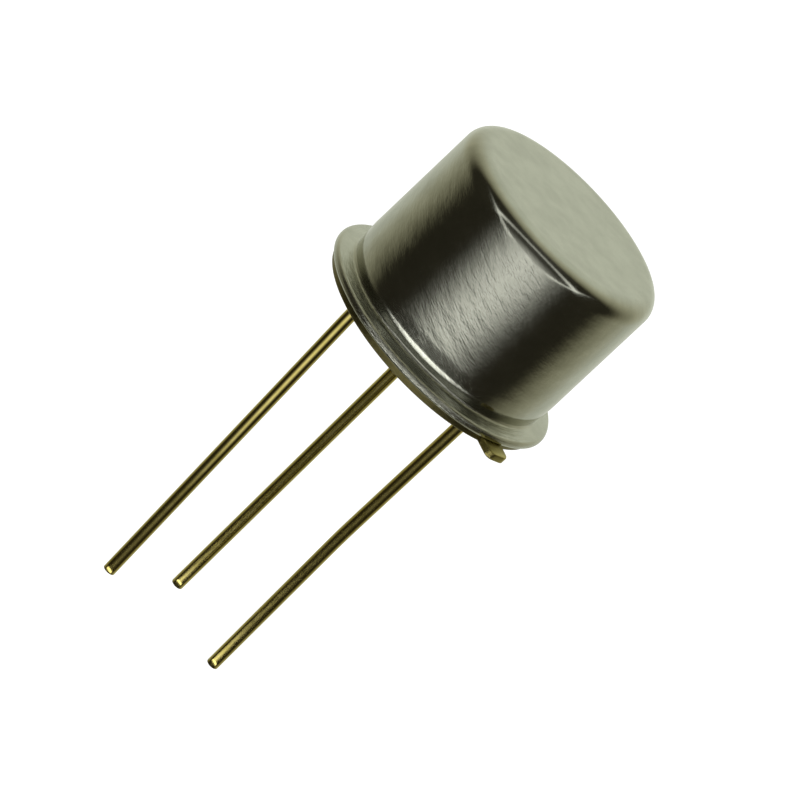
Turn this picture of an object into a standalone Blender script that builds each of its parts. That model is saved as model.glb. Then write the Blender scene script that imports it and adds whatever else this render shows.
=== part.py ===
"""A PNP transistor in a round welded metal can, with three wire leads and an index tab.

The frame is the one that the package is drawn in. The origin is the centre of the seating plane, which is
the underside of the header's rim. +Z runs up the can, so the leads point down. +X points to the emitter
lead and +Y to the base lead. Lengths are in metres.
"""

import math

import bmesh
import bpy
from mathutils import Matrix, Vector

# Outline of the package
OVERALL_HEIGHT = 0.00637  # seating plane to the top of the cap
CAN_DIAMETER = 0.00825
CAP_FLANGE_DIAMETER = 0.00935

# Drawn cap
CAP_WALL = 0.0003
CAP_DRAFT = 0.00003  # the side leans in by this much between its foot and its shoulder
CAP_CORNER = 0.00062  # outer radius of the shoulder
CAP_FLANGE_THICKNESS = 0.00037
CAP_LIP_UPPER = 0.00027  # rounding of the rim's upper edge
CAP_LIP_LOWER = 0.0001
CAP_FLARE = 0.00025  # hollow curve from the side out to the rim

# Stamped header eyelet
HEADER_SHEET = 0.00026
HEADER_INSET = 0.0002  # the header's rim stops this far inside the cap's rim
HEADER_EDGE_ROUND = 0.00005
PLATFORM_HEIGHT = 0.0014  # seating plane to the face that carries the die
PLATFORM_CLEARANCE = 0.0001  # between the platform and the inside of the cap
PLATFORM_CORNER = 0.00035
WINDOW_DIAMETER = 0.0013  # hole in the platform, where the glass insulates a lead
TAB_WIDTH = 0.00088
TAB_LENGTH = 0.00075  # beyond the header's rim
TAB_CORNER = 0.00025
TAB_ANGLE = math.radians(-45)

# Glass seal
GLASS_RECESS = 0.00012  # the glass stops this far above the seating plane
GLASS_CREEP = 0.0001  # radius of the curve where glass clings to a lead or to the header's wall
CREEP_EDGE = math.radians(25)  # the curve stops here, so that it ends in a blunt edge

# Leads
LEAD_DIAMETER = 0.00045
LEAD_LENGTH = 0.01382  # below the seating plane
LEAD_TIP_CHAMFER = 0.00004
PIN_CIRCLE_DIAMETER = 0.00508
POST_HEIGHT = 0.00075  # of the two bonding posts above the platform
POST_HEAD_DIAMETER = 0.0007
POST_HEAD_THICKNESS = 0.00014
BEND_LENGTH = 0.0012
EMITTER_ANGLE = math.radians(0)
BASE_ANGLE = math.radians(90)
COLLECTOR_ANGLE = math.radians(180)
EMITTER_BEND_DEPTH = 0.0065  # below the seating plane, where the lead starts to lean
BASE_BEND_DEPTH = 0.0002
COLLECTOR_BEND_DEPTH = 0.0006
EMITTER_LEAN = math.radians(1.85)
BASE_LEAN = math.radians(1.0)
COLLECTOR_LEAN = math.radians(5.1)
EMITTER_LEAN_HEADING = math.radians(0)  # the way that a lead leans as it goes down, from +X
BASE_LEAN_HEADING = math.radians(0)
COLLECTOR_LEAN_HEADING = math.radians(-62)
COLLECTOR_TRIM = 0.0003  # this lead is cut shorter than the others

# Die and its connections
SOLDER_SIDE = 0.00106
SOLDER_THICKNESS = 0.00004
DIE_SIDE = 0.0009
DIE_THICKNESS = 0.00022
CONTACT_THICKNESS = 0.00001
CONTACT_MARGIN = 0.00007  # bare edge of the die around the metal
CONTACT_SPINE = 0.00018  # bar that a comb's fingers grow from, where the wire lands
FINGER_WIDTH = 0.00004
FINGER_GAP = 0.00003
BOND_WIRE_DIAMETER = 0.00005
BOND_FOOT = 0.00012  # length of wire pressed flat at each end
BOND_FLATTEN = 0.5  # height of the pressed foot as a share of the wire's diameter
BOND_LOOP_HEIGHT = 0.0004

FIT_GAP = 0.00001  # around the glass, and around the leads in it

ROUND_SEGMENTS = 64
LEAD_SEGMENTS = 20
WIRE_SEGMENTS = 10
ARC_STEPS = 6
BEND_STEPS = 4
WIRE_STEPS = 22

CAN_RADIUS = CAN_DIAMETER / 2
CAP_INSIDE_RADIUS = CAN_RADIUS - CAP_WALL
CAP_FLANGE_RADIUS = CAP_FLANGE_DIAMETER / 2
HEADER_FLANGE_RADIUS = CAP_FLANGE_RADIUS - HEADER_INSET
PLATFORM_RADIUS = CAP_INSIDE_RADIUS - PLATFORM_CLEARANCE
HEADER_INSIDE_RADIUS = PLATFORM_RADIUS - HEADER_SHEET
HEADER_INSIDE_CORNER = max(PLATFORM_CORNER - HEADER_SHEET, HEADER_SHEET / 2)
PLATFORM_UNDERSIDE = PLATFORM_HEIGHT - HEADER_SHEET
PIN_CIRCLE_RADIUS = PIN_CIRCLE_DIAMETER / 2
LEAD_HOLE_RADIUS = LEAD_DIAMETER / 2 + FIT_GAP
WINDOW_SEGMENTS = 2 * LEAD_SEGMENTS
DIE_BOTTOM = PLATFORM_HEIGHT + SOLDER_THICKNESS
DIE_TOP = DIE_BOTTOM + DIE_THICKNESS
POST_TOP = PLATFORM_HEIGHT + POST_HEIGHT

# Directions in a turned profile, where east is away from the axis and north is up
EAST, NORTH, WEST, SOUTH = 0.0, math.pi / 2, math.pi, -math.pi / 2


def finish(name, colour, roughness, metallic):
    """A plain Principled material of its own for one piece."""
    material = bpy.data.materials.new(name)
    material.use_nodes = True
    shader = material.node_tree.nodes["Principled BSDF"]
    shader.inputs["Base Color"].default_value = (*colour, 1.0)
    shader.inputs["Roughness"].default_value = roughness
    shader.inputs["Metallic"].default_value = metallic
    return material


def add_piece(name, shape, material):
    """Turns a finished bmesh into a named object, smooth across its curves and sharp at its edges."""
    bmesh.ops.recalc_face_normals(shape, faces=shape.faces)
    mesh = bpy.data.meshes.new(name)
    shape.to_mesh(mesh)
    shape.free()
    mesh.shade_smooth()
    mesh.set_sharp_from_angle(angle=math.radians(35))
    mesh.materials.append(material)
    piece = bpy.data.objects.new(name, mesh)
    bpy.context.scene.collection.objects.link(piece)
    return piece


def boolean(piece, operation, helper_name, helper_shape, material):
    """Joins or cuts away a second shape, which stays in the scene as a hidden helper."""
    helper = add_piece(helper_name, helper_shape, material)
    helper.hide_render = True
    helper.display_type = "WIRE"
    modifier = piece.modifiers.new(helper_name, "BOOLEAN")
    modifier.operation = operation
    modifier.solver = "EXACT"
    modifier.object = helper


def arc(centre_r, centre_z, radius, start, end, steps=ARC_STEPS):
    """Points along an arc of a turned profile, from one direction to the other."""
    angles = [start + (end - start) * step / steps for step in range(steps + 1)]
    return [(centre_r + radius * math.cos(a), centre_z + radius * math.sin(a)) for a in angles]


def add_turned(shape, profile, segments, centre=(0.0, 0.0)):
    """Adds a solid turned about an upright axis from (radius, height) points that start and end on it."""
    x, y = centre
    points = [shape.verts.new((x + r, y, z)) for r, z in profile]
    edges = [shape.edges.new(pair) for pair in zip(points, points[1:])]
    bmesh.ops.spin(
        shape, geom=points + edges, axis=(0, 0, 1), cent=(x, y, 0), angle=2 * math.pi, steps=segments,
        use_merge=True,
    )
    bmesh.ops.remove_doubles(shape, verts=shape.verts, dist=1e-7)


def turned(profile, segments=ROUND_SEGMENTS):
    """A new shape turned about the can's axis."""
    shape = bmesh.new()
    add_turned(shape, profile, segments)
    return shape


def rod(radius, low, high):
    """The profile of a plain round rod."""
    return [(0.0, high), (radius, high), (radius, low), (0.0, low)]


def plate(outline, low, thickness):
    """A flat shape of even thickness with the given (x, y) outline."""
    shape = bmesh.new()
    face = shape.faces.new([shape.verts.new((x, y, low)) for x, y in outline])
    raised = bmesh.ops.extrude_face_region(shape, geom=[face])["geom"]
    top = [item for item in raised if isinstance(item, bmesh.types.BMVert)]
    bmesh.ops.translate(shape, verts=top, vec=(0, 0, thickness))
    return shape


def pin_place(angle):
    """Where a lead stands on the pin circle."""
    return PIN_CIRCLE_RADIUS * math.cos(angle), PIN_CIRCLE_RADIUS * math.sin(angle)


def build_cap(material):
    """The drawn cup: flat top, round shoulder, straight side, and a rim that is welded to the header."""
    rim_top = HEADER_SHEET + CAP_FLANGE_THICKNESS
    flare = min(CAP_FLARE, CAP_FLANGE_RADIUS - CAP_LIP_UPPER - CAN_RADIUS)
    shoulder = CAN_RADIUS - CAP_DRAFT - CAP_CORNER
    inside_corner = max(CAP_CORNER - CAP_WALL, CAP_WALL / 2)
    inside_shoulder = CAP_INSIDE_RADIUS - CAP_DRAFT - inside_corner
    ceiling = OVERALL_HEIGHT - CAP_WALL
    mouth = CAP_WALL / 2
    profile = [(0.0, OVERALL_HEIGHT)]
    profile += arc(shoulder, OVERALL_HEIGHT - CAP_CORNER, CAP_CORNER, NORTH, EAST)
    profile += arc(CAN_RADIUS + flare, rim_top + flare, flare, WEST, WEST + NORTH)
    profile += arc(CAP_FLANGE_RADIUS - CAP_LIP_UPPER, rim_top - CAP_LIP_UPPER, CAP_LIP_UPPER, NORTH, EAST)
    profile += arc(CAP_FLANGE_RADIUS - CAP_LIP_LOWER, HEADER_SHEET + CAP_LIP_LOWER, CAP_LIP_LOWER, EAST,
                   SOUTH, 3)
    profile += arc(CAP_INSIDE_RADIUS + mouth, HEADER_SHEET + mouth, mouth, SOUTH, -WEST, 3)
    profile += arc(inside_shoulder, ceiling - inside_corner, inside_corner, EAST, NORTH, 4)
    profile += [(0.0, ceiling)]
    return add_piece("cap", turned(profile), material)


def header_hollow(gap=0.0):
    """The hollow under the platform as profile points, from its wall round the corner to the axis."""
    corner = HEADER_INSIDE_CORNER
    centre_r = HEADER_INSIDE_RADIUS - gap - corner
    return arc(centre_r, PLATFORM_UNDERSIDE - corner, corner, EAST, NORTH, 3) + [(0.0, PLATFORM_UNDERSIDE)]


def tab_shape():
    """The index tab, a flat tongue with a rounded end that grows from the header's rim."""
    root = HEADER_FLANGE_RADIUS - HEADER_SHEET
    tip = HEADER_FLANGE_RADIUS + TAB_LENGTH
    half = TAB_WIDTH / 2
    outline = [(root, -half)]
    outline += arc(tip - TAB_CORNER, TAB_CORNER - half, TAB_CORNER, SOUTH, EAST, 4)
    outline += arc(tip - TAB_CORNER, half - TAB_CORNER, TAB_CORNER, EAST, NORTH, 4)
    outline += [(root, half)]
    shape = plate(outline, 0.0, HEADER_SHEET)
    bmesh.ops.rotate(shape, verts=shape.verts, cent=(0, 0, 0), matrix=Matrix.Rotation(TAB_ANGLE, 3, "Z"))
    return shape


def build_header(material):
    """The stamped header: a raised platform, a flat rim with the tab, and a window for two of the leads."""
    edge = HEADER_EDGE_ROUND
    rim = HEADER_FLANGE_RADIUS - edge
    throat = HEADER_SHEET / 2
    profile = [(0.0, PLATFORM_HEIGHT)]
    profile += arc(PLATFORM_RADIUS - PLATFORM_CORNER, PLATFORM_HEIGHT - PLATFORM_CORNER, PLATFORM_CORNER,
                   NORTH, EAST, 4)
    profile += [(PLATFORM_RADIUS, HEADER_SHEET)]
    profile += arc(rim, HEADER_SHEET - edge, edge, NORTH, EAST, 2)
    profile += arc(rim, edge, edge, EAST, SOUTH, 2)
    profile += arc(HEADER_INSIDE_RADIUS + throat, throat, throat, SOUTH, -WEST, 3)
    profile += header_hollow()
    header = add_piece("header_eyelet", turned(profile), material)
    boolean(header, "UNION", "tab_helper", tab_shape(), material)
    windows = bmesh.new()
    for angle in (EMITTER_ANGLE, BASE_ANGLE):
        cut = rod(WINDOW_DIAMETER / 2, PLATFORM_UNDERSIDE - HEADER_SHEET, PLATFORM_HEIGHT + HEADER_SHEET)
        add_turned(windows, cut, WINDOW_SEGMENTS, pin_place(angle))
    boolean(header, "DIFFERENCE", "windows_helper", windows, material)
    return header


def build_glass(material):
    """One body of fused glass: it fills the header from below and both windows, and clings to each lead."""
    wall = HEADER_INSIDE_RADIUS - FIT_GAP
    creep_z = GLASS_RECESS - GLASS_CREEP
    profile = header_hollow(FIT_GAP)[::-1]
    profile += arc(wall - GLASS_CREEP * math.cos(CREEP_EDGE), creep_z, GLASS_CREEP, CREEP_EDGE, NORTH, 3)
    profile += [(0.0, GLASS_RECESS)]
    glass = add_piece("glass_seal", turned(profile), material)

    additions = bmesh.new()
    bores = bmesh.new()
    for angle in (EMITTER_ANGLE, BASE_ANGLE, COLLECTOR_ANGLE):
        collar = arc(LEAD_HOLE_RADIUS + GLASS_CREEP, creep_z, GLASS_CREEP, WEST - CREEP_EDGE, NORTH, 3)
        collar = [(0.0, collar[0][1])] + collar
        collar += [(collar[-1][0], 2 * GLASS_RECESS), (0.0, 2 * GLASS_RECESS)]
        add_turned(additions, collar, LEAD_SEGMENTS, pin_place(angle))
        bore = rod(LEAD_HOLE_RADIUS, -HEADER_SHEET, PLATFORM_HEIGHT + HEADER_SHEET)
        add_turned(bores, bore, LEAD_SEGMENTS, pin_place(angle))
    for angle in (EMITTER_ANGLE, BASE_ANGLE):
        plug = rod(WINDOW_DIAMETER / 2 - FIT_GAP, PLATFORM_UNDERSIDE - HEADER_SHEET, PLATFORM_HEIGHT)
        add_turned(additions, plug, WINDOW_SEGMENTS, pin_place(angle))
    boolean(glass, "UNION", "glass_plugs_helper", additions, material)
    boolean(glass, "DIFFERENCE", "lead_bores_helper", bores, material)
    return glass


def swept(stations, side, segments):
    """A closed round or flattened bar through stations of (point, direction, width, height).

    The path lies in one plane, and side is the level direction across that plane.
    """
    shape = bmesh.new()
    rings = []
    for point, direction, width, height in stations:
        up = direction.cross(side).normalized()
        turns = [2 * math.pi * step / segments for step in range(segments)]
        places = [point + up * (height / 2 * math.cos(t)) + side * (width / 2 * math.sin(t)) for t in turns]
        rings.append([shape.verts.new(place) for place in places])
    for ring, following in zip(rings, rings[1:]):
        for step in range(segments):
            after = (step + 1) % segments
            shape.faces.new((ring[step], ring[after], following[after], following[step]))
    shape.faces.new(rings[0])
    shape.faces.new(rings[-1])
    return shape


def build_lead(name, angle, bend_depth, lean, heading, length, top, head, material):
    """A drawn wire: straight through the glass, leaning a little further down, with a chamfered tip."""
    down = Vector((0.0, 0.0, -1.0))
    across = Vector((math.cos(heading), math.sin(heading), 0.0))
    place = Vector((*pin_place(angle), 0.0))
    widths = [(0.0, LEAD_DIAMETER)]
    if head:
        blend = POST_HEAD_THICKNESS / 4
        widths = [(0.0, POST_HEAD_DIAMETER - 2 * blend), (blend, POST_HEAD_DIAMETER)]
        widths += [(POST_HEAD_THICKNESS, POST_HEAD_DIAMETER)]
        widths += [(POST_HEAD_THICKNESS + 2 * blend, LEAD_DIAMETER)]
    widths += [(top + bend_depth, LEAD_DIAMETER)]
    stations = [(place + Vector((0, 0, top - depth)), down, width, width) for depth, width in widths]
    point = stations[-1][0]
    for step in range(1, BEND_STEPS + 1):
        halfway = lean * (step - 0.5) / BEND_STEPS
        turned_to = lean * step / BEND_STEPS
        point = point + (down * math.cos(halfway) + across * math.sin(halfway)) * (BEND_LENGTH / BEND_STEPS)
        direction = down * math.cos(turned_to) + across * math.sin(turned_to)
        stations.append((point, direction, LEAD_DIAMETER, LEAD_DIAMETER))
    straight = (length + point.z) / math.cos(lean)
    tip = LEAD_DIAMETER - 2 * LEAD_TIP_CHAMFER
    shoulder = point + direction * (straight - LEAD_TIP_CHAMFER)
    stations.append((shoulder, direction, LEAD_DIAMETER, LEAD_DIAMETER))
    stations.append((point + direction * straight, direction, tip, tip))
    return add_piece(name, swept(stations, down.cross(across), LEAD_SEGMENTS), material)


def build_slab(name, side_length, low, thickness, bevel, material):
    """A square plate on the can's axis with its upper edges eased."""
    half = side_length / 2
    shape = plate([(-half, -half), (half, -half), (half, half), (-half, half)], low, thickness)
    middle = low + thickness / 2
    top_edges = [edge for edge in shape.edges if all(vert.co.z > middle for vert in edge.verts)]
    bmesh.ops.bevel(
        shape, geom=top_edges, offset=bevel, offset_type="OFFSET", segments=1, profile=0.5, affect="EDGES",
        material=-1,
    )
    return add_piece(name, shape, material)


def finger_places():
    """Distances from the middle of the die to each finger, the emitter's and the base's by turns."""
    room = DIE_SIDE - 2 * CONTACT_MARGIN
    pitch = FINGER_WIDTH + FINGER_GAP
    count = int((room + FINGER_GAP) / pitch)
    count -= 1 - count % 2
    return [(index - (count - 1) / 2) * pitch for index in range(count)]


def build_contact(name, hand, first, material):
    """One metal comb on the die. Its bar is at the emitter lead's side if hand is 1, or facing it if -1."""
    edge = DIE_SIDE / 2 - CONTACT_MARGIN
    bar = edge - CONTACT_SPINE
    tip = FINGER_GAP - bar
    half = FINGER_WIDTH / 2
    places = finger_places()
    low, high = places[0] - half, places[-1] + half
    outline = [(edge, low), (edge, high)]
    if first:
        outline.append((bar, high))
    for y in reversed(places[first::2]):
        if y + half < high:
            outline.append((bar, y + half))
        outline += [(tip, y + half), (tip, y - half)]
        if y - half > low:
            outline.append((bar, y - half))
    if first:
        outline.append((bar, low))
    shape = plate([(hand * x, y) for x, y in outline], DIE_TOP, CONTACT_THICKNESS)
    return add_piece(name, shape, material)


def build_bond_wire(name, start_x, start_y, lead_angle, material):
    """A fine wire pressed flat on a comb's bar, looped over to a post and pressed flat on its head."""
    foot_height = BOND_WIRE_DIAMETER * BOND_FLATTEN
    foot_width = BOND_WIRE_DIAMETER / BOND_FLATTEN
    begin = Vector((start_x, start_y, DIE_TOP + CONTACT_THICKNESS + foot_height / 2))
    end = Vector((*pin_place(lead_angle), POST_TOP + foot_height / 2))
    level = Vector((end.x - begin.x, end.y - begin.y, 0.0)).normalized()
    side = Vector((0, 0, 1)).cross(level)
    inner = begin + level * BOND_FOOT
    outer = end - level * BOND_FOOT
    crest = Vector((0, 0, BOND_LOOP_HEIGHT * 4 / 3))
    reach = (outer - inner).length
    rise = inner + crest + level * (0.12 * reach)
    fall = outer + crest - level * (0.3 * reach)
    flat = (foot_width, foot_height)
    round_section = (BOND_WIRE_DIAMETER, BOND_WIRE_DIAMETER)

    stations = [(begin, level, *flat), (inner - level * BOND_WIRE_DIAMETER, level, *flat)]
    for step in range(WIRE_STEPS + 1):
        t = step / WIRE_STEPS
        u = 1 - t
        point = inner * u**3 + rise * (3 * u * u * t) + fall * (3 * u * t * t) + outer * t**3
        slope = (rise - inner) * (u * u) + (fall - rise) * (2 * u * t) + (outer - fall) * (t * t)
        stations.append((point, slope.normalized(), *round_section))
    stations += [(outer + level * BOND_WIRE_DIAMETER, level, *flat), (end, level, *flat)]
    return add_piece(name, swept(stations, side, WIRE_SEGMENTS), material)


def main():
    for thing in list(bpy.data.objects):
        bpy.data.objects.remove(thing)

    nickel = (0.5, 0.5, 0.43)
    gold = (0.62, 0.51, 0.2)
    aluminium = (0.8, 0.8, 0.8)
    build_cap(finish("nickel_cap", nickel, 0.3, 1.0))
    build_header(finish("gold_plated_header", gold, 0.3, 1.0))
    build_glass(finish("seal_glass", (0.03, 0.05, 0.04), 0.15, 0.0))
    build_lead("emitter_lead", EMITTER_ANGLE, EMITTER_BEND_DEPTH, EMITTER_LEAN, EMITTER_LEAN_HEADING,
               LEAD_LENGTH, POST_TOP, True, finish("gold_plated_emitter_lead", gold, 0.28, 1.0))
    build_lead("base_lead", BASE_ANGLE, BASE_BEND_DEPTH, BASE_LEAN, BASE_LEAN_HEADING,
               LEAD_LENGTH, POST_TOP, True, finish("gold_plated_base_lead", gold, 0.28, 1.0))
    build_lead("collector_lead", COLLECTOR_ANGLE, COLLECTOR_BEND_DEPTH, COLLECTOR_LEAN,
               COLLECTOR_LEAN_HEADING, LEAD_LENGTH - COLLECTOR_TRIM, PLATFORM_UNDERSIDE, False,
               finish("gold_plated_collector_lead", gold, 0.28, 1.0))
    build_slab("die_solder", SOLDER_SIDE, PLATFORM_HEIGHT, SOLDER_THICKNESS, SOLDER_THICKNESS / 2,
               finish("gold_silicon_solder", (0.75, 0.62, 0.4), 0.45, 1.0))
    build_slab("silicon_die", DIE_SIDE, DIE_BOTTOM, DIE_THICKNESS, CONTACT_THICKNESS,
               finish("silicon", (0.09, 0.09, 0.11), 0.12, 0.6))
    build_contact("emitter_contact", 1, 0, finish("emitter_metal", aluminium, 0.25, 1.0))
    build_contact("base_contact", -1, 1, finish("base_metal", aluminium, 0.25, 1.0))
    pad = DIE_SIDE / 2 - CONTACT_MARGIN - CONTACT_SPINE / 2
    build_bond_wire("emitter_bond_wire", pad - BOND_FOOT / 2, 0.0, EMITTER_ANGLE,
                    finish("emitter_wire", aluminium, 0.3, 1.0))
    build_bond_wire("base_bond_wire", -pad, pad / 2, BASE_ANGLE,
                    finish("base_wire", aluminium, 0.3, 1.0))


main()
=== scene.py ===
import math

import bmesh
import bpy
from mathutils import Matrix, Vector


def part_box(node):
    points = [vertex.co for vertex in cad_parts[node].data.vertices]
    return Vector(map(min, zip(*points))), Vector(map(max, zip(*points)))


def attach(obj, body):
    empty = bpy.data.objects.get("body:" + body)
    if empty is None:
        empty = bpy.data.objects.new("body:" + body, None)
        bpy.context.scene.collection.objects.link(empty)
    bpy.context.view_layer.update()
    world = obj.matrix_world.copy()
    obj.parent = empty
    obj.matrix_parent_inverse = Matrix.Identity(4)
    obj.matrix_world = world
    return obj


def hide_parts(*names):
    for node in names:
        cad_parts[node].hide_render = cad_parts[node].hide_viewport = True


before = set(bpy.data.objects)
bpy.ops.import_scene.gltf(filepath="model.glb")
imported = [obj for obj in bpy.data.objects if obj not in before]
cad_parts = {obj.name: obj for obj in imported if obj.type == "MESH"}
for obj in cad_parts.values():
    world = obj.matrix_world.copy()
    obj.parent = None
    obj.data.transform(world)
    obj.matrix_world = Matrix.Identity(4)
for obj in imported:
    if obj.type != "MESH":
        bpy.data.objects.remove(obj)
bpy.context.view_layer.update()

# Camera
# It looks a little down on the can from between the collector and emitter leads, and is rolled so that
# the can points to the upper right and the leads run to the lower left, as the part lies in the photograph.
view_turn, view_rise, view_roll = -0.1043, 0.3748, 0.8172
view_back = Vector((math.sin(view_turn) * math.cos(view_rise), -math.cos(view_turn) * math.cos(view_rise),
                    math.sin(view_rise)))
level_right = Vector((math.cos(view_turn), math.sin(view_turn), 0.0))
level_up = view_back.cross(level_right)
view_right = level_right * math.cos(view_roll) + level_up * math.sin(view_roll)
view_up = level_up * math.cos(view_roll) - level_right * math.sin(view_roll)
view_distance = 0.1286
focal_pixels = 4015.8
image_side = 800
sensor_width = 36.0
can_middle = Vector((0.0, 0.0, 0.0033))
middle_seen_at = (504.1, 277.35)
camera_place = (
    can_middle + view_back * view_distance
    - view_right * ((middle_seen_at[0] - image_side / 2) / focal_pixels * view_distance)
    - view_up * ((image_side / 2 - middle_seen_at[1]) / focal_pixels * view_distance)
)
camera_data = bpy.data.cameras.new("camera")
camera_data.sensor_width = sensor_width
camera_data.lens = focal_pixels / image_side * sensor_width
camera_data.clip_start = 0.01
camera_data.clip_end = 20.0
camera = bpy.data.objects.new("camera", camera_data)
camera.matrix_world = Matrix.Translation(camera_place) @ Matrix(
    (view_right, view_up, view_back)).transposed().to_4x4()
bpy.context.scene.collection.objects.link(camera)
bpy.context.scene.camera = camera

# White surroundings
# An even white world and a pale floor well below the leads, so that the part stands clear on white and
# its soft shadow falls away from it.
bpy.context.scene.view_settings.view_transform = "Standard"
world = bpy.data.worlds.new("white_room")
bpy.context.scene.world = world
world.use_nodes = True
world.node_tree.nodes["Background"].inputs["Color"].default_value = (1.0, 1.0, 1.0, 1.0)
world.node_tree.nodes["Background"].inputs["Strength"].default_value = 1.0


def new_material(name):
    """A material with its node tree and its shader."""
    material = bpy.data.materials.new(name)
    material.use_nodes = True
    tree = material.node_tree
    return material, tree, tree.nodes["Principled BSDF"]


def add_node(tree, kind, **settings):
    """Adds a node; settings named after inputs set those, and the rest set the node itself."""
    node = tree.nodes.new(kind)
    for key, value in settings.items():
        if key.startswith("in_"):
            node.inputs[key[3:].replace("_", " ")].default_value = value
        else:
            setattr(node, key, value)
    return node


floor_half_side = 3.0
floor_height = -0.105
floor_own_light = 0.3
floor_shape = bmesh.new()
bmesh.ops.create_grid(floor_shape, x_segments=2, y_segments=2, size=floor_half_side)
bmesh.ops.translate(floor_shape, verts=floor_shape.verts, vec=(0, 0, floor_height))
floor_mesh = bpy.data.meshes.new("floor")
floor_shape.to_mesh(floor_mesh)
floor_shape.free()
floor = bpy.data.objects.new("floor", floor_mesh)
bpy.context.scene.collection.objects.link(floor)
floor_paint, tree, shader = new_material("pale_floor")
shader.inputs["Roughness"].default_value = 0.9
shader.inputs["Specular IOR Level"].default_value = 0.1
paper = add_node(tree, "ShaderNodeTexNoise", in_Scale=40.0, in_Detail=3.0)
paper_tone = add_node(tree, "ShaderNodeMapRange", in_To_Min=0.82, in_To_Max=0.86)
tree.links.new(add_node(tree, "ShaderNodeTexCoord").outputs["Object"], paper.inputs["Vector"])
tree.links.new(paper.outputs["Fac"], paper_tone.inputs["Value"])
tree.links.new(paper_tone.outputs["Result"], shader.inputs["Base Color"])
seen = add_node(tree, "ShaderNodeLightPath")
either = add_node(tree, "ShaderNodeMath", operation="MAXIMUM")
any_seen = add_node(tree, "ShaderNodeMath", operation="MAXIMUM")
lift = add_node(tree, "ShaderNodeMath", operation="MULTIPLY")
lift.inputs[1].default_value = floor_own_light
glow = add_node(tree, "ShaderNodeEmission")
both = add_node(tree, "ShaderNodeAddShader")
tree.links.new(seen.outputs["Is Camera Ray"], either.inputs[0])
tree.links.new(seen.outputs["Is Glossy Ray"], either.inputs[1])
tree.links.new(either.outputs[0], any_seen.inputs[0])
tree.links.new(seen.outputs["Is Transmission Ray"], any_seen.inputs[1])
tree.links.new(any_seen.outputs[0], lift.inputs[0])
tree.links.new(lift.outputs[0], glow.inputs["Strength"])
tree.links.new(shader.outputs[0], both.inputs[0])
tree.links.new(glow.outputs[0], both.inputs[1])
tree.links.new(both.outputs[0], tree.nodes["Material Output"].inputs["Surface"])
floor_mesh.materials.append(floor_paint)

# Cloth tent
# A round tent of white cloth that only reflections see. It is bright behind the part and overhead and
# dark towards the camera, where a soft box glows through it low down. The edge of its opening, the rim
# of the box and a strip of the table below catch light too.
tent_radius = 0.1
tent_shape = bmesh.new()
bmesh.ops.create_uvsphere(tent_shape, u_segments=96, v_segments=48, radius=tent_radius)
bmesh.ops.reverse_faces(tent_shape, faces=tent_shape.faces)
tent_mesh = bpy.data.meshes.new("cloth_tent")
tent_shape.to_mesh(tent_mesh)
tent_shape.free()
tent_mesh.shade_smooth()
tent = bpy.data.objects.new("cloth_tent", tent_mesh)
bpy.context.scene.collection.objects.link(tent)
tent.visible_camera = False
tent.visible_diffuse = False
tent.visible_transmission = False
tent.visible_shadow = False
tent_cloth, tree, _ = new_material("tent_cloth")


def level_direction(turn, rise):
    """The direction that lies so far round from the camera's side, towards +X, and so far up."""
    heading = math.radians(turn) + view_turn - math.pi / 2
    rise = math.radians(rise)
    return Vector((math.cos(heading) * math.cos(rise), math.sin(heading) * math.cos(rise), math.sin(rise)))


def share_along(turn, rise):
    """How far each point of the tent lies along a direction, as a share of the tent's radius."""
    along = add_node(tree, "ShaderNodeVectorMath", operation="DOT_PRODUCT")
    along.inputs[1].default_value = level_direction(turn, rise) / tent_radius
    tree.links.new(cloth_place.outputs["Object"], along.inputs[0])
    return along.outputs["Value"]


def even_range(value, low, high, low_result=0.0, high_result=1.0, easing="LINEAR"):
    """Goes from one result to the other as the value goes from low to high, and holds it beyond."""
    share = add_node(tree, "ShaderNodeMapRange", interpolation_type=easing, in_From_Min=low,
                     in_From_Max=high, in_To_Min=low_result, in_To_Max=high_result)
    tree.links.new(value, share.inputs["Value"])
    return share.outputs["Result"]


def smooth_range(value, low, high, low_result, high_result):
    """The same, with a soft start and a soft end."""
    return even_range(value, low, high, low_result, high_result, "SMOOTHSTEP")


def combine(operation, *values):
    """Joins the values by one sum, product or comparison after another."""
    joined = values[0]
    for value in values[1:]:
        step = add_node(tree, "ShaderNodeMath", operation=operation)
        tree.links.new(joined, step.inputs[0])
        if isinstance(value, float):
            step.inputs[1].default_value = value
        else:
            tree.links.new(value, step.inputs[1])
        joined = step.outputs[0]
    return joined


def colour_steps(value, steps):
    """A colour ramp through (position, colour) steps."""
    ramp = add_node(tree, "ShaderNodeValToRGB")
    stops = ramp.color_ramp.elements
    while len(stops) < len(steps):
        stops.new(0.5)
    for stop, (position, colour) in zip(stops, steps):
        stop.position = position
        stop.color = (*colour, 1.0) if isinstance(colour, tuple) else (colour, colour, colour, 1.0)
    tree.links.new(value, ramp.inputs["Fac"])
    return ramp.outputs["Color"]


cloth_place = add_node(tree, "ShaderNodeTexCoord")
towards = share_along(0, 0)
height = share_along(0, 90)
rightwards = share_along(93, 0)


def squared_share(low, high, scale):
    """How far the height lies from low to high, squared and scaled."""
    share = even_range(height, low, high)
    return combine("MULTIPLY", share, share, scale)


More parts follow.
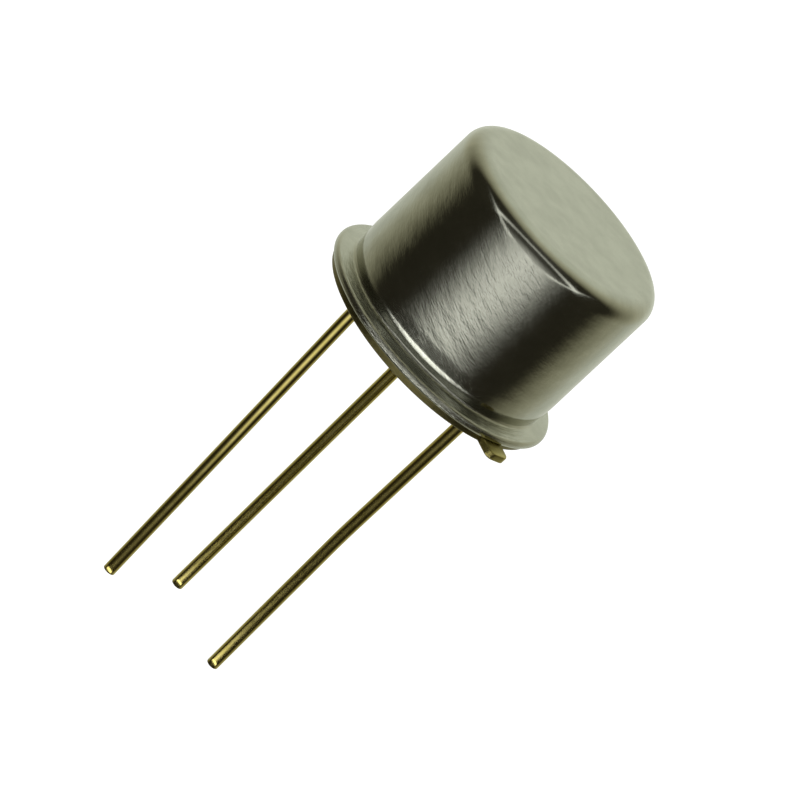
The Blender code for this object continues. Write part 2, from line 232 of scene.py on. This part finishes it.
# The places on the tent are given as shares of its radius.
border = combine("ADD", squared_share(0.25, 1.0, 0.73), squared_share(0.25, -0.37, 0.327), -0.22)
behind_border = combine("SUBTRACT", border, towards)
cloth_colour = colour_steps(even_range(behind_border, -0.13, 1.0), [
    (0.0, (0.030, 0.027, 0.018)), (0.115, (0.12, 0.112, 0.072)), (0.292, (0.30, 0.288, 0.20)),
    (0.513, (0.485, 0.475, 0.35)), (0.646, (0.60, 0.60, 0.475)), (0.779, (0.715, 0.74, 0.625)),
    (0.91, (0.745, 0.77, 0.655)), (1.0, (0.84, 0.86, 0.74))])
cloth_strength = smooth_range(height, -0.4, 0.0, 0.8, 1.0)
box_by_height = colour_steps(even_range(height, -0.6, 0.4), [
    (0.08, 0.05), (0.15, 0.09), (0.20, 0.13), (0.24, 0.15), (0.26, 0.2), (0.285, 0.92), (0.31, 1.2),
    (0.36, 1.15), (0.48, 0.62), (0.67, 0.38), (0.85, 0.18), (1.0, 0.04)])
unsigned = add_node(tree, "ShaderNodeMath", operation="ABSOLUTE")
tree.links.new(rightwards, unsigned.inputs[0])
sideways = unsigned.outputs[0]
in_front = smooth_range(towards, 0.0, 0.3, 0.0, 1.0)
box_glow = combine("MULTIPLY", box_by_height, smooth_range(sideways, 0.0, 0.74, 1.0, 0.0), in_front)
opening_strength, table_strength, box_rim_strength = 1.2, 2.7, 0.95
to_opening = share_along(3.8, -13)
opening_edge = combine(
    "MULTIPLY",
    smooth_range(to_opening, 0.43, 0.51, 0.0, 1.0), smooth_range(to_opening, 0.56, 0.64, 1.0, 0.0),
    smooth_range(height, -0.03, 0.17, 0.0, 1.0), smooth_range(height, 0.35, 0.65, 1.0, 0.4),
    smooth_range(rightwards, -0.7, 0.7, 0.85, 1.05), smooth_range(sideways, 0.66, 0.8, 1.0, 0.0),
    opening_strength)
above_table = combine("ADD", height, combine("MULTIPLY", sideways, sideways, 0.07))
table_edge = combine(
    "MULTIPLY",
    smooth_range(above_table, -0.565, -0.54, 1.0, 0.0), smooth_range(height, -0.66, -0.63, 0.0, 1.0),
    in_front, smooth_range(sideways, 0.6, 0.74, 1.0, 0.0), table_strength)
above_curve = combine("ADD", height, combine("MULTIPLY", sideways, sideways, sideways, sideways, -1.6))
box_rim = combine(
    "MULTIPLY",
    smooth_range(above_curve, -0.25, -0.17, 0.0, 1.0), smooth_range(above_curve, -0.12, -0.03, 1.0, 0.0),
    smooth_range(sideways, 0.15, 0.5, 0.0, 1.0), smooth_range(sideways, 0.74, 0.82, 1.0, 0.0),
    in_front, box_rim_strength)
lamp_light = combine("ADD", box_glow, opening_edge, table_edge, box_rim)
cloth_light = add_node(tree, "ShaderNodeEmission")
lamp_glow = add_node(tree, "ShaderNodeEmission")
lamp_glow.inputs["Color"].default_value = (1.0, 1.0, 0.97, 1.0)
tent_light = add_node(tree, "ShaderNodeAddShader")
tree.links.new(cloth_colour, cloth_light.inputs["Color"])
tree.links.new(cloth_strength, cloth_light.inputs["Strength"])
tree.links.new(lamp_light, lamp_glow.inputs["Strength"])
tree.links.new(cloth_light.outputs[0], tent_light.inputs[0])
tree.links.new(lamp_glow.outputs[0], tent_light.inputs[1])
tree.links.new(tent_light.outputs[0], tree.nodes["Material Output"].inputs["Surface"])
tent_mesh.materials.append(tent_cloth)

# Cap
# A cup drawn from sheet steel and nickel plated, with a flat top, a rounded shoulder, a foot drawn in
# by a tenth of a millimetre and a rim that is welded to the header. The satin plating has short slanting
# brush strokes on its side, and the rim is turned and duller.
cap_low, cap_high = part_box("cap")
rim_radius = cap_high.x * 1000 - 0.001
cap_top = cap_high.z * 1000
rim_under = cap_low.z * 1000
rim_top = 0.54
rim_corner = 0.12
can_foot_radius = 4.125
can_shoulder_radius = 4.095
shoulder_size, shoulder_rounding = 0.68, 0.62
neck_top, neck_start, neck_foot = 1.5, 1.12, 0.65
neck_start_depth, neck_depth = 0.018, 0.09
can_inside_radius = 3.825
inside_draft = 0.03
cap_wall = 0.3
sharp_turn = math.radians(40)


def turned_shape(corners, arc_steps=10):
    """Turns an outline of (radius, height, rounding) in millimetres about the can's axis."""
    shape = bmesh.new()
    points = [shape.verts.new((radius, 0, height)) for radius, height, _ in corners]
    for one, other in zip(points, points[1:]):
        shape.edges.new((one, other))
    for point, (_, _, rounding) in zip(points, corners):
        if rounding:
            bmesh.ops.bevel(shape, geom=[point], offset=rounding, offset_type="OFFSET", segments=arc_steps,
                            profile=0.5, affect="VERTICES", material=-1)
    bmesh.ops.spin(shape, geom=shape.verts[:] + shape.edges[:], cent=(0, 0, 0), axis=(0, 0, 1),
                   angle=2 * math.pi, steps=144, use_merge=True)
    bmesh.ops.remove_doubles(shape, verts=shape.verts, dist=1e-4)
    bmesh.ops.recalc_face_normals(shape, faces=shape.faces)
    return shape


def finished_piece(name, shape, material):
    """Brings a shape from millimetres to metres and makes it an object with smooth curves."""
    bmesh.ops.scale(shape, verts=shape.verts, vec=(0.001, 0.001, 0.001))
    bmesh.ops.recalc_face_normals(shape, faces=shape.faces)
    mesh = bpy.data.meshes.new(name)
    shape.to_mesh(mesh)
    shape.free()
    mesh.shade_smooth()
    mesh.set_sharp_from_angle(angle=sharp_turn)
    if material:
        mesh.materials.append(material)
    piece = bpy.data.objects.new(name, mesh)
    bpy.context.scene.collection.objects.link(piece)
    return piece


def plating_marks():
    """The group that every plated piece shares: soft mottling, marks along the can's axis, and pits."""
    pits_per_streak, pit_depth = 1.7, 0.15
    group = bpy.data.node_groups.new("plating_marks", "ShaderNodeTree")
    for name, value in (("Mottle size", 1.0), ("Streak size", 8.0), ("Stretch", 0.35)):
        socket = group.interface.new_socket(name, in_out="INPUT", socket_type="NodeSocketFloat")
        socket.default_value = value
    for name in ("Mottle", "Streaks", "Height"):
        group.interface.new_socket(name, in_out="OUTPUT", socket_type="NodeSocketFloat")
    given = add_node(group, "NodeGroupInput")
    result = add_node(group, "NodeGroupOutput")
    place = add_node(group, "ShaderNodeTexCoord")
    in_mm = add_node(group, "ShaderNodeMapping")
    in_mm.inputs["Scale"].default_value = (1000, 1000, 1000)
    mottle = add_node(group, "ShaderNodeTexNoise", in_Detail=4.0, in_Roughness=0.55)
    squeeze = add_node(group, "ShaderNodeCombineXYZ", in_X=1.0, in_Y=1.0)
    stretched = add_node(group, "ShaderNodeVectorMath", operation="MULTIPLY")
    streaks = add_node(group, "ShaderNodeTexNoise", in_Detail=5.0, in_Roughness=0.6, in_Distortion=0.4)
    pit_size = add_node(group, "ShaderNodeMath", operation="MULTIPLY")
    pit_size.inputs[1].default_value = pits_per_streak
    pits = add_node(group, "ShaderNodeTexNoise", in_Detail=2.0)
    pit_mask = add_node(group, "ShaderNodeMapRange", in_From_Min=0.6, in_From_Max=0.72)
    height = add_node(group, "ShaderNodeMath", operation="MULTIPLY_ADD")
    height.inputs[1].default_value = -pit_depth
    join = group.links.new
    join(place.outputs["Object"], in_mm.inputs["Vector"])
    join(in_mm.outputs["Vector"], mottle.inputs["Vector"])
    join(given.outputs["Mottle size"], mottle.inputs["Scale"])
    join(given.outputs["Stretch"], squeeze.inputs["Z"])
    join(in_mm.outputs["Vector"], stretched.inputs[0])
    join(squeeze.outputs["Vector"], stretched.inputs[1])
    join(stretched.outputs["Vector"], streaks.inputs["Vector"])
    join(given.outputs["Streak size"], streaks.inputs["Scale"])
    join(given.outputs["Streak size"], pit_size.inputs[0])
    join(in_mm.outputs["Vector"], pits.inputs["Vector"])
    join(pit_size.outputs[0], pits.inputs["Scale"])
    join(pits.outputs["Fac"], pit_mask.inputs["Value"])
    join(pit_mask.outputs["Result"], height.inputs[0])
    join(streaks.outputs["Fac"], height.inputs[2])
    join(mottle.outputs["Fac"], result.inputs["Mottle"])
    join(streaks.outputs["Fac"], result.inputs["Streaks"])
    join(height.outputs[0], result.inputs["Height"])
    return group


marks_group = plating_marks()


def plated_metal(name, light_tone, dark_tone, smoothest, roughest, relief, streak_size, mottle_size,
                 stretch):
    """A plated finish whose colour, gloss and relief come from the shared marks."""
    material, tree, shader = new_material(name)
    shader.inputs["Metallic"].default_value = 1.0
    marks = add_node(tree, "ShaderNodeGroup", node_tree=marks_group, in_Streak_size=streak_size,
                     in_Mottle_size=mottle_size, in_Stretch=stretch)
    tone_mask = add_node(tree, "ShaderNodeMapRange", in_From_Min=0.35, in_From_Max=0.65)
    tone = add_node(tree, "ShaderNodeMix", data_type="RGBA")
    tone.inputs[6].default_value = (*dark_tone, 1)
    tone.inputs[7].default_value = (*light_tone, 1)
    gloss = add_node(tree, "ShaderNodeMapRange", in_From_Min=0.3, in_From_Max=0.7, in_To_Min=smoothest,
                     in_To_Max=roughest)
    bump = add_node(tree, "ShaderNodeBump", in_Strength=1.0, in_Distance=relief)
    join = tree.links.new
    join(marks.outputs["Mottle"], tone_mask.inputs["Value"])
    join(tone_mask.outputs["Result"], tone.inputs[0])
    join(tone.outputs[2], shader.inputs["Base Color"])
    join(marks.outputs["Streaks"], gloss.inputs["Value"])
    join(gloss.outputs["Result"], shader.inputs["Roughness"])
    join(marks.outputs["Height"], bump.inputs["Height"])
    join(bump.outputs["Normal"], shader.inputs["Normal"])
    return material, tree, shader, marks, tone, gloss


def brush_strokes():
    """The group of short slanting strokes that run round the can, with their seams kept out of sight."""
    group = bpy.data.node_groups.new("brush_strokes", "ShaderNodeTree")
    for name, value in (("Radius", 4.12), ("Length", 0.35), ("Width", 0.08), ("Slant", 0.36)):
        socket = group.interface.new_socket(name, in_out="INPUT", socket_type="NodeSocketFloat")
        socket.default_value = value
    for name in ("Strokes", "Height in mm"):
        group.interface.new_socket(name, in_out="OUTPUT", socket_type="NodeSocketFloat")
    join = group.links.new
    given = add_node(group, "NodeGroupInput")
    result = add_node(group, "NodeGroupOutput")
    in_mm = add_node(group, "ShaderNodeMapping")
    in_mm.inputs["Scale"].default_value = (1000, 1000, 1000)
    split = add_node(group, "ShaderNodeSeparateXYZ")
    join(add_node(group, "ShaderNodeTexCoord").outputs["Object"], in_mm.inputs["Vector"])
    join(in_mm.outputs["Vector"], split.inputs["Vector"])

    def maths(operation, *values):
        """One sum, product or angle of the values."""
        step = add_node(group, "ShaderNodeMath", operation=operation)
        for socket, value in zip(step.inputs, values):
            if isinstance(value, (int, float)):
                socket.default_value = value
            else:
                join(value, socket)
        return step.outputs[0]

    x, y, z = (split.outputs[axis] for axis in "XYZ")
    from_axis = maths("SQRT", maths("ADD", maths("POWER", x, 2), maths("POWER", y, 2)))
    down_side = maths("SUBTRACT", z, from_axis)
    pattern_spacing = 7.0
    sides = []
    for hand in (1.0, -1.0):
        turn = maths("ARCTAN2", maths("MULTIPLY", x, hand), maths("MULTIPLY", y, -hand))
        round_can = maths("MULTIPLY", turn, given.outputs["Radius"])
        along = maths("SUBTRACT", round_can, maths("MULTIPLY", down_side, given.outputs["Slant"]))
        across = maths("ADD", down_side, maths("MULTIPLY", round_can, given.outputs["Slant"]))
        place = add_node(group, "ShaderNodeCombineXYZ", in_Z=hand * pattern_spacing)
        join(maths("DIVIDE", along, given.outputs["Length"]), place.inputs["X"])
        join(maths("DIVIDE", across, given.outputs["Width"]), place.inputs["Y"])
        strokes = add_node(group, "ShaderNodeTexNoise", in_Scale=1.0, in_Detail=3.0, in_Roughness=0.6)
        join(place.outputs["Vector"], strokes.inputs["Vector"])
        sides.append(strokes.outputs["Fac"])
    blend = add_node(group, "ShaderNodeMapRange", interpolation_type="SMOOTHSTEP", in_From_Min=-0.8,
                     in_From_Max=0.8)
    either_side = add_node(group, "ShaderNodeMix", data_type="FLOAT")
    join(y, blend.inputs["Value"])
    join(blend.outputs["Result"], either_side.inputs[0])
    join(sides[0], either_side.inputs[2])
    join(sides[1], either_side.inputs[3])
    join(either_side.outputs[0], result.inputs["Strokes"])
    join(z, result.inputs["Height in mm"])
    return group


def more_relief(height, depth, strength, normal):
    """The normal with a bump of the given depth in metres laid over it."""
    bump = add_node(tree, "ShaderNodeBump", in_Distance=depth)
    tree.links.new(height, bump.inputs["Height"])
    tree.links.new(strength, bump.inputs["Strength"])
    tree.links.new(normal, bump.inputs["Normal"])
    return bump.outputs["Normal"]


nickel, tree, shader, marks, _, gloss = plated_metal(
    "nickel_plating", (0.53, 0.54, 0.47), (0.46, 0.47, 0.405), smoothest=0.12, roughest=0.17,
    relief=1.2e-6, streak_size=11.0, mottle_size=1.3, stretch=0.6)
strokes_group = brush_strokes()
brushed = add_node(tree, "ShaderNodeGroup", node_tree=strokes_group)
waves = add_node(tree, "ShaderNodeGroup", node_tree=strokes_group, in_Length=1.1, in_Width=0.45)
turned = add_node(tree, "ShaderNodeGroup", node_tree=strokes_group, in_Length=1.0, in_Width=0.05,
                  in_Slant=0.0)
level = brushed.outputs["Height in mm"]
stroke_depth = combine("MINIMUM", smooth_range(level, 5.6, 6.1, 1.0, 0.1),
                       smooth_range(level, 1.1, 1.3, 0.25, 1.0))
patches = even_range(marks.outputs["Mottle"], 0.38, 0.62, 0.25, 1.0)
weld_zone = smooth_range(level, 0.68, 0.76, 1.0, 0.0)
weld_roughness = 0.2
worn_gloss = combine("MAXIMUM", gloss.outputs["Result"], combine("MULTIPLY", weld_zone, weld_roughness))
tree.links.new(worn_gloss, shader.inputs["Roughness"])
plain_normal = shader.inputs["Normal"].links[0].from_socket
brushed_normal = more_relief(brushed.outputs["Strokes"], 6e-6, combine("MULTIPLY", stroke_depth, patches),
                             plain_normal)
wavy_normal = more_relief(waves.outputs["Strokes"], 1.1e-5, stroke_depth, brushed_normal)
turned_normal = more_relief(turned.outputs["Strokes"], 1.5e-5, weld_zone, wavy_normal)
tree.links.new(turned_normal, shader.inputs["Normal"])
cap_outline = [
    (0, cap_top, 0),
    (can_shoulder_radius - shoulder_size, cap_top, 0),
    (can_shoulder_radius, cap_top, shoulder_rounding),
    (can_shoulder_radius, cap_top - shoulder_size, 0),
    (can_foot_radius, neck_top, 0.1),
    (can_foot_radius - neck_start_depth, neck_start, 0.06),
    (can_foot_radius - neck_depth, neck_foot, 0.12),
    (rim_radius, rim_top, rim_corner),
    (rim_radius, rim_under, rim_corner),
    (can_inside_radius, rim_under, 0.15),
    (can_inside_radius - inside_draft, cap_top - cap_wall, 0.32),
    (0, cap_top - cap_wall, 0),
]
cap = finished_piece("plated_cap", turned_shape(cap_outline), nickel)
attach(cap, "root")
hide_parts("cap")

# Header
# A gold-plated stamping of sealing alloy: a raised platform inside the can, a flat rim under the cap's
# rim, the index tab on that rim, and two windows where glass keeps a lead clear of the metal. The gold is
# painted darker out to the rim's edge, a painted shade for the shade under the cap's rim, and the tab has
# kept its colour.
header_rim_radius = rim_radius - 0.2
sheet = 0.26
platform = 1.4
platform_radius = 3.725
header_inside_radius = 3.465
header_inside_corner = 0.13
rim_edge = 0.05
window_radius = 0.65
window_low, window_high = 0.9, 1.6
pin_circle_radius = 2.54
tab_width, tab_length, tab_corner, tab_overlap = 0.88, 0.75, 0.25, 0.2
tab_edge_rounding = 0.04
tab_turn = math.radians(-45)


def combined(piece, operation, shape):
    """Joins or cuts away a second shape in millimetres, and keeps the result as the piece's own mesh."""
    other = finished_piece("helper_shape", shape, None)
    change = piece.modifiers.new("change", "BOOLEAN")
    change.operation = operation
    change.solver = "EXACT"
    change.object = other
    bpy.context.view_layer.update()
    made = bpy.data.meshes.new_from_object(piece.evaluated_get(bpy.context.evaluated_depsgraph_get()))
    piece.modifiers.remove(change)
    material = piece.data.materials[0]
    piece.data = made
    made.materials.clear()
    made.materials.append(material)
    made.shade_smooth()
    made.set_sharp_from_angle(angle=sharp_turn)
    bpy.data.objects.remove(other)


def round_rods(places, radius, low, high):
    """Upright round rods in millimetres at the given places."""
    shape = bmesh.new()
    for x, y in places:
        bmesh.ops.create_cone(
            shape, cap_ends=True, segments=48, radius1=radius, radius2=radius, depth=high - low,
            matrix=Matrix.Translation((x, y, (low + high) / 2)),
        )
    return shape


def paint_shade_towards(colour, share):
    """Mixes the metal's own tone with a darker colour by a share, which paints shade onto it."""
    dulled = add_node(tree, "ShaderNodeMix", data_type="RGBA")
    dulled.inputs[7].default_value = (*colour, 1)
    tree.links.new(share, dulled.inputs[0])
    tree.links.new(tone.outputs[2], dulled.inputs[6])
    tree.links.new(dulled.outputs[2], shader.inputs["Base Color"])


header_gold, tree, shader, _, tone, _ = plated_metal(
    "header_gold", (0.52, 0.46, 0.17), (0.40, 0.35, 0.12), smoothest=0.3, roughest=0.42, relief=3e-6,
    streak_size=9.0, mottle_size=2.0, stretch=1.0)
level_place = add_node(tree, "ShaderNodeVectorMath", operation="MULTIPLY")
level_place.inputs[1].default_value = (1000, 1000, 0)
from_axis = add_node(tree, "ShaderNodeVectorMath", operation="LENGTH")
tree.links.new(add_node(tree, "ShaderNodeTexCoord").outputs["Object"], level_place.inputs[0])
tree.links.new(level_place.outputs["Vector"], from_axis.inputs[0])
# Painted shade: the header out to 4.5 mm from the axis is mixed three quarters of the way to a dark olive,
# as if shaded under the cap's rim; the tab beyond 4.62 mm keeps its own gold.
paint_shade_towards((0.10, 0.09, 0.045), even_range(from_axis.outputs["Value"], 4.5, 4.62, 0.75, 0.0))
header_outline = [
    (0, platform, 0), (platform_radius - 0.4, platform, 0), (platform_radius, platform, 0.35),
    (platform_radius, sheet, 0), (header_rim_radius, sheet, rim_edge), (header_rim_radius, 0, rim_edge),
    (header_inside_radius, 0, header_inside_corner),
    (header_inside_radius, platform - sheet, header_inside_corner), (0, platform - sheet, 0),
]
header = finished_piece("plated_header", turned_shape(header_outline, arc_steps=5), header_gold)
tab_shape = bmesh.new()
tab_corners = [
    tab_shape.verts.new((x, y, 0)) for x, y in (
        (header_rim_radius - tab_overlap, -tab_width / 2), (header_rim_radius + tab_length, -tab_width / 2),
        (header_rim_radius + tab_length, tab_width / 2), (header_rim_radius - tab_overlap, tab_width / 2))
]
tab_shape.faces.new(tab_corners)
bmesh.ops.bevel(tab_shape, geom=tab_corners[1:3], offset=tab_corner, offset_type="OFFSET", segments=8,
                profile=0.5, affect="VERTICES", material=-1)
raised = bmesh.ops.extrude_face_region(tab_shape, geom=tab_shape.faces[:])["geom"]
raised_corners = [item for item in raised if isinstance(item, bmesh.types.BMVert)]
bmesh.ops.translate(tab_shape, verts=raised_corners, vec=(0, 0, sheet))
bmesh.ops.recalc_face_normals(tab_shape, faces=tab_shape.faces)
flat_edges = [edge for edge in tab_shape.edges if abs(edge.verts[0].co.z - edge.verts[1].co.z) < 0.01]
bmesh.ops.bevel(tab_shape, geom=flat_edges, offset=tab_edge_rounding, offset_type="OFFSET", segments=3,
                profile=0.5, affect="EDGES", material=-1)
bmesh.ops.rotate(tab_shape, verts=tab_shape.verts, cent=(0, 0, 0), matrix=Matrix.Rotation(tab_turn, 3, "Z"))
combined(header, "UNION", tab_shape)
insulated_places = [(pin_circle_radius, 0), (0, pin_circle_radius)]
lead_places = insulated_places + [(-pin_circle_radius, 0)]
combined(header, "DIFFERENCE", round_rods(insulated_places, window_radius, window_low, window_high))
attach(header, "root")
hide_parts("header_eyelet")

# Glass seal
# Dark sealing glass, fused in one piece inside the header and round the leads. It stops just short of
# the seating plane, and its surface climbs in a small collar round each lead and at the metal wall.
glass_recess = 0.12
glass_creep = 0.1
wall_creep = 0.06
collar_tip = 0.015
collar_overlap = 0.02
seal_gap = 0.01
lead_radius = 0.225
bore_radius = lead_radius + seal_gap
glass, tree, shader = new_material("dark_sealing_glass")
shader.inputs["IOR"].default_value = 1.5
shader.inputs["Coat Weight"].default_value = 0.3
shader.inputs["Coat Roughness"].default_value = 0.05
clouds = add_node(tree, "ShaderNodeTexNoise", in_Scale=1.3, in_Detail=5.0)
bubbles = add_node(tree, "ShaderNodeTexVoronoi", in_Scale=3.5)
in_mm = add_node(tree, "ShaderNodeMapping")
in_mm.inputs["Scale"].default_value = (1000, 1000, 1000)
cloud_tone = add_node(tree, "ShaderNodeValToRGB")
cloud_tone.color_ramp.elements[0].color = (0.012, 0.020, 0.017, 1)
cloud_tone.color_ramp.elements[1].color = (0.045, 0.065, 0.055, 1)
dimples = add_node(tree, "ShaderNodeBump", in_Strength=1.0, in_Distance=6e-6, invert=True)
join = tree.links.new
join(add_node(tree, "ShaderNodeTexCoord").outputs["Object"], in_mm.inputs["Vector"])
join(in_mm.outputs["Vector"], clouds.inputs["Vector"])
join(in_mm.outputs["Vector"], bubbles.inputs["Vector"])
join(clouds.outputs["Fac"], cloud_tone.inputs["Fac"])
join(cloud_tone.outputs["Color"], shader.inputs["Base Color"])
join(even_range(clouds.outputs["Fac"], 0.0, 1.0, 0.08, 0.35), shader.inputs["Roughness"])
join(even_range(bubbles.outputs["Distance"], 0.08, 0.14, 1.0, 0.0), dimples.inputs["Height"])
join(dimples.outputs["Normal"], shader.inputs["Normal"])
glass_radius = header_inside_radius - seal_gap
glass_outline = [
    (0, platform - sheet, 0), (glass_radius, platform - sheet, header_inside_corner),
    (glass_radius, glass_recess - wall_creep, 0), (glass_radius - 0.01, glass_recess - wall_creep, 0),
    (glass_radius - 0.02, glass_recess, 0.018), (0, glass_recess, 0),
]
seal = finished_piece("fused_seal", turned_shape(glass_outline, arc_steps=5), glass)
collars = bmesh.new()
for x, y in lead_places:
    bmesh.ops.create_cone(
        collars, cap_ends=True, segments=48, radius1=bore_radius + collar_tip,
        radius2=bore_radius + glass_creep, depth=glass_creep,
        matrix=Matrix.Translation((x, y, glass_recess - glass_creep / 2 + collar_overlap)),
    )
combined(seal, "UNION", collars)
combined(seal, "UNION", round_rods(insulated_places, window_radius - seal_gap, window_low, platform))
combined(seal, "DIFFERENCE", round_rods(lead_places, bore_radius, -0.5, 2.0))
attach(seal, "root")
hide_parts("glass_seal")

# Leads
# Drawn wire of the same alloy, gold plated, straight through the glass and leaning slightly below it.
# The emitter and base leads end inside in a headed post; the collector lead is welded to the header.
# Their lower ends are sheared off, which leaves rougher bare metal, and every face that looks downwards is
# painted nearly black, a painted shade.
post_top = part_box("emitter_lead")[1].z * 1000
head_radius = 0.35
tip_round = 0.04
bend_length = 1.2


def drawn_lead(name, node, place, bend_start, lean, heading, top, headed, material):
    """Grows one lead from its cut tip upwards by extruding a round section along its path."""
    bend_high = -bend_start
    bend_low = bend_high - bend_length
    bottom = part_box(node)[0].z * 1000 + lead_radius * math.sin(lean)
    level_way = Vector((math.cos(heading), math.sin(heading), 0.0))
    tilt_axis = Vector((-math.sin(heading), math.cos(heading), 0.0))
    shape = bmesh.new()
    bmesh.ops.create_circle(shape, cap_ends=True, segments=40, radius=1.0)
    rim = shape.edges[:]

    def drift(height):
        """How far the lead has leant at a height, and its slope there."""
        if height > bend_high:
            return 0.0, 0.0
        if height > bend_low:
            share = (bend_high - height) / bend_length
            return math.tan(lean) * bend_length * share * share / 2, lean * share
        return math.tan(lean) * (bend_length / 2 + bend_low - height), lean

    sections = [(bottom, lead_radius - tip_round), (bottom + tip_round / 3, lead_radius - tip_round / 4),
                (bottom + tip_round, lead_radius), (bottom + 0.3, lead_radius)]
    sections += [(bend_low + bend_length * step / 6, lead_radius) for step in range(-2, 7)]
    if headed:
        sections += [(top - 0.25, lead_radius), (top - 0.21, lead_radius),
                     (top - 0.14, head_radius - 0.005), (top - 0.13, head_radius), (top - 0.03, head_radius),
                     (top - 0.01, head_radius - 0.015), (top, head_radius - 0.04)]
    else:
        sections += [(top - 0.05, lead_radius), (top, lead_radius)]
    ring = shape.verts[:]
    previous = None
    for height, radius in sections:
        if previous is not None:
            grown = bmesh.ops.extrude_edge_only(shape, edges=rim)["geom"]
            ring = [item for item in grown if isinstance(item, bmesh.types.BMVert)]
            rim = [item for item in grown if isinstance(item, bmesh.types.BMEdge)
                   and item.verts[0] in ring and item.verts[1] in ring]
            bmesh.ops.transform(shape, matrix=previous.inverted(), verts=ring)
        offset, slope = drift(height)
        centre = Vector((place[0], place[1], height)) + level_way * offset
        previous = (Matrix.Translation(centre) @ Matrix.Rotation(-slope, 4, tilt_axis)
                    @ Matrix.Diagonal((radius, radius, 1.0, 1.0)))
        bmesh.ops.transform(shape, matrix=previous, verts=ring)
    bmesh.ops.contextual_create(shape, geom=rim)
    lead = finished_piece(name, shape, material)
    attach(lead, "root")
    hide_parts(node)


lead_gold, tree, shader, _, tone, gloss = plated_metal(
    "lead_gold", (0.66, 0.56, 0.20), (0.56, 0.47, 0.14), smoothest=0.09, roughest=0.14, relief=4e-7,
    streak_size=10.0, mottle_size=2.0, stretch=0.25)
facing = add_node(tree, "ShaderNodeSeparateXYZ")
tree.links.new(add_node(tree, "ShaderNodeTexCoord").outputs["Normal"], facing.inputs[0])
# Faces that look downwards (the cut ends, their rounding and the undersides of the post heads) are painted
# nearly black, a painted shade; the same mask also makes them rougher.
cut_ends_and_painted_shade = even_range(facing.outputs["Z"], -0.3, -0.12, 1.0, 0.0)
sheared_roughness = 0.5
paint_shade_towards((0.09, 0.08, 0.04), cut_ends_and_painted_shade)
tree.links.new(combine("MAXIMUM", combine("MULTIPLY", cut_ends_and_painted_shade, sheared_roughness), gloss.outputs["Result"]),
               shader.inputs["Roughness"])
for name, node, place, bend_start, lean, heading, top, headed in (
        ("plated_emitter_lead", "emitter_lead", lead_places[0], 6.5, 1.85, 0, post_top, True),
        ("plated_base_lead", "base_lead", lead_places[1], 0.2, 1.0, 0, post_top, True),
        ("plated_collector_lead", "collector_lead", lead_places[2], 0.6, 5.1, -62, platform - sheet, False)):
    drawn_lead(name, node, place, bend_start, math.radians(lean), math.radians(heading), top, headed,
               lead_gold)

# Chip and its connections
# Inside the sealed can: a silicon chip on a film of gold-silicon solder, two aluminium combs on it, and
# two fine aluminium wires pressed down to the posts. Their solids are shown as they are, in these finishes.
solder, *_ = plated_metal(
    "chip_solder", (0.74, 0.62, 0.40), (0.60, 0.50, 0.32), smoothest=0.35, roughest=0.55, relief=4e-6,
    streak_size=20.0, mottle_size=6.0, stretch=1.0)
film, *_ = plated_metal(
    "aluminium_film", (0.82, 0.82, 0.82), (0.74, 0.74, 0.75), smoothest=0.2, roughest=0.35, relief=5e-7,
    streak_size=60.0, mottle_size=20.0, stretch=1.0)
silicon, *_ = plated_metal(
    "oxidised_silicon", (0.14, 0.10, 0.20), (0.08, 0.11, 0.16), smoothest=0.08, roughest=0.16,
    relief=1e-7, streak_size=30.0, mottle_size=5.0, stretch=1.0)
for node, material in (("die_solder", solder), ("silicon_die", silicon), ("emitter_contact", film),
                       ("base_contact", film), ("emitter_bond_wire", film), ("base_bond_wire", film)):
    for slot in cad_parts[node].material_slots:
        slot.material = material
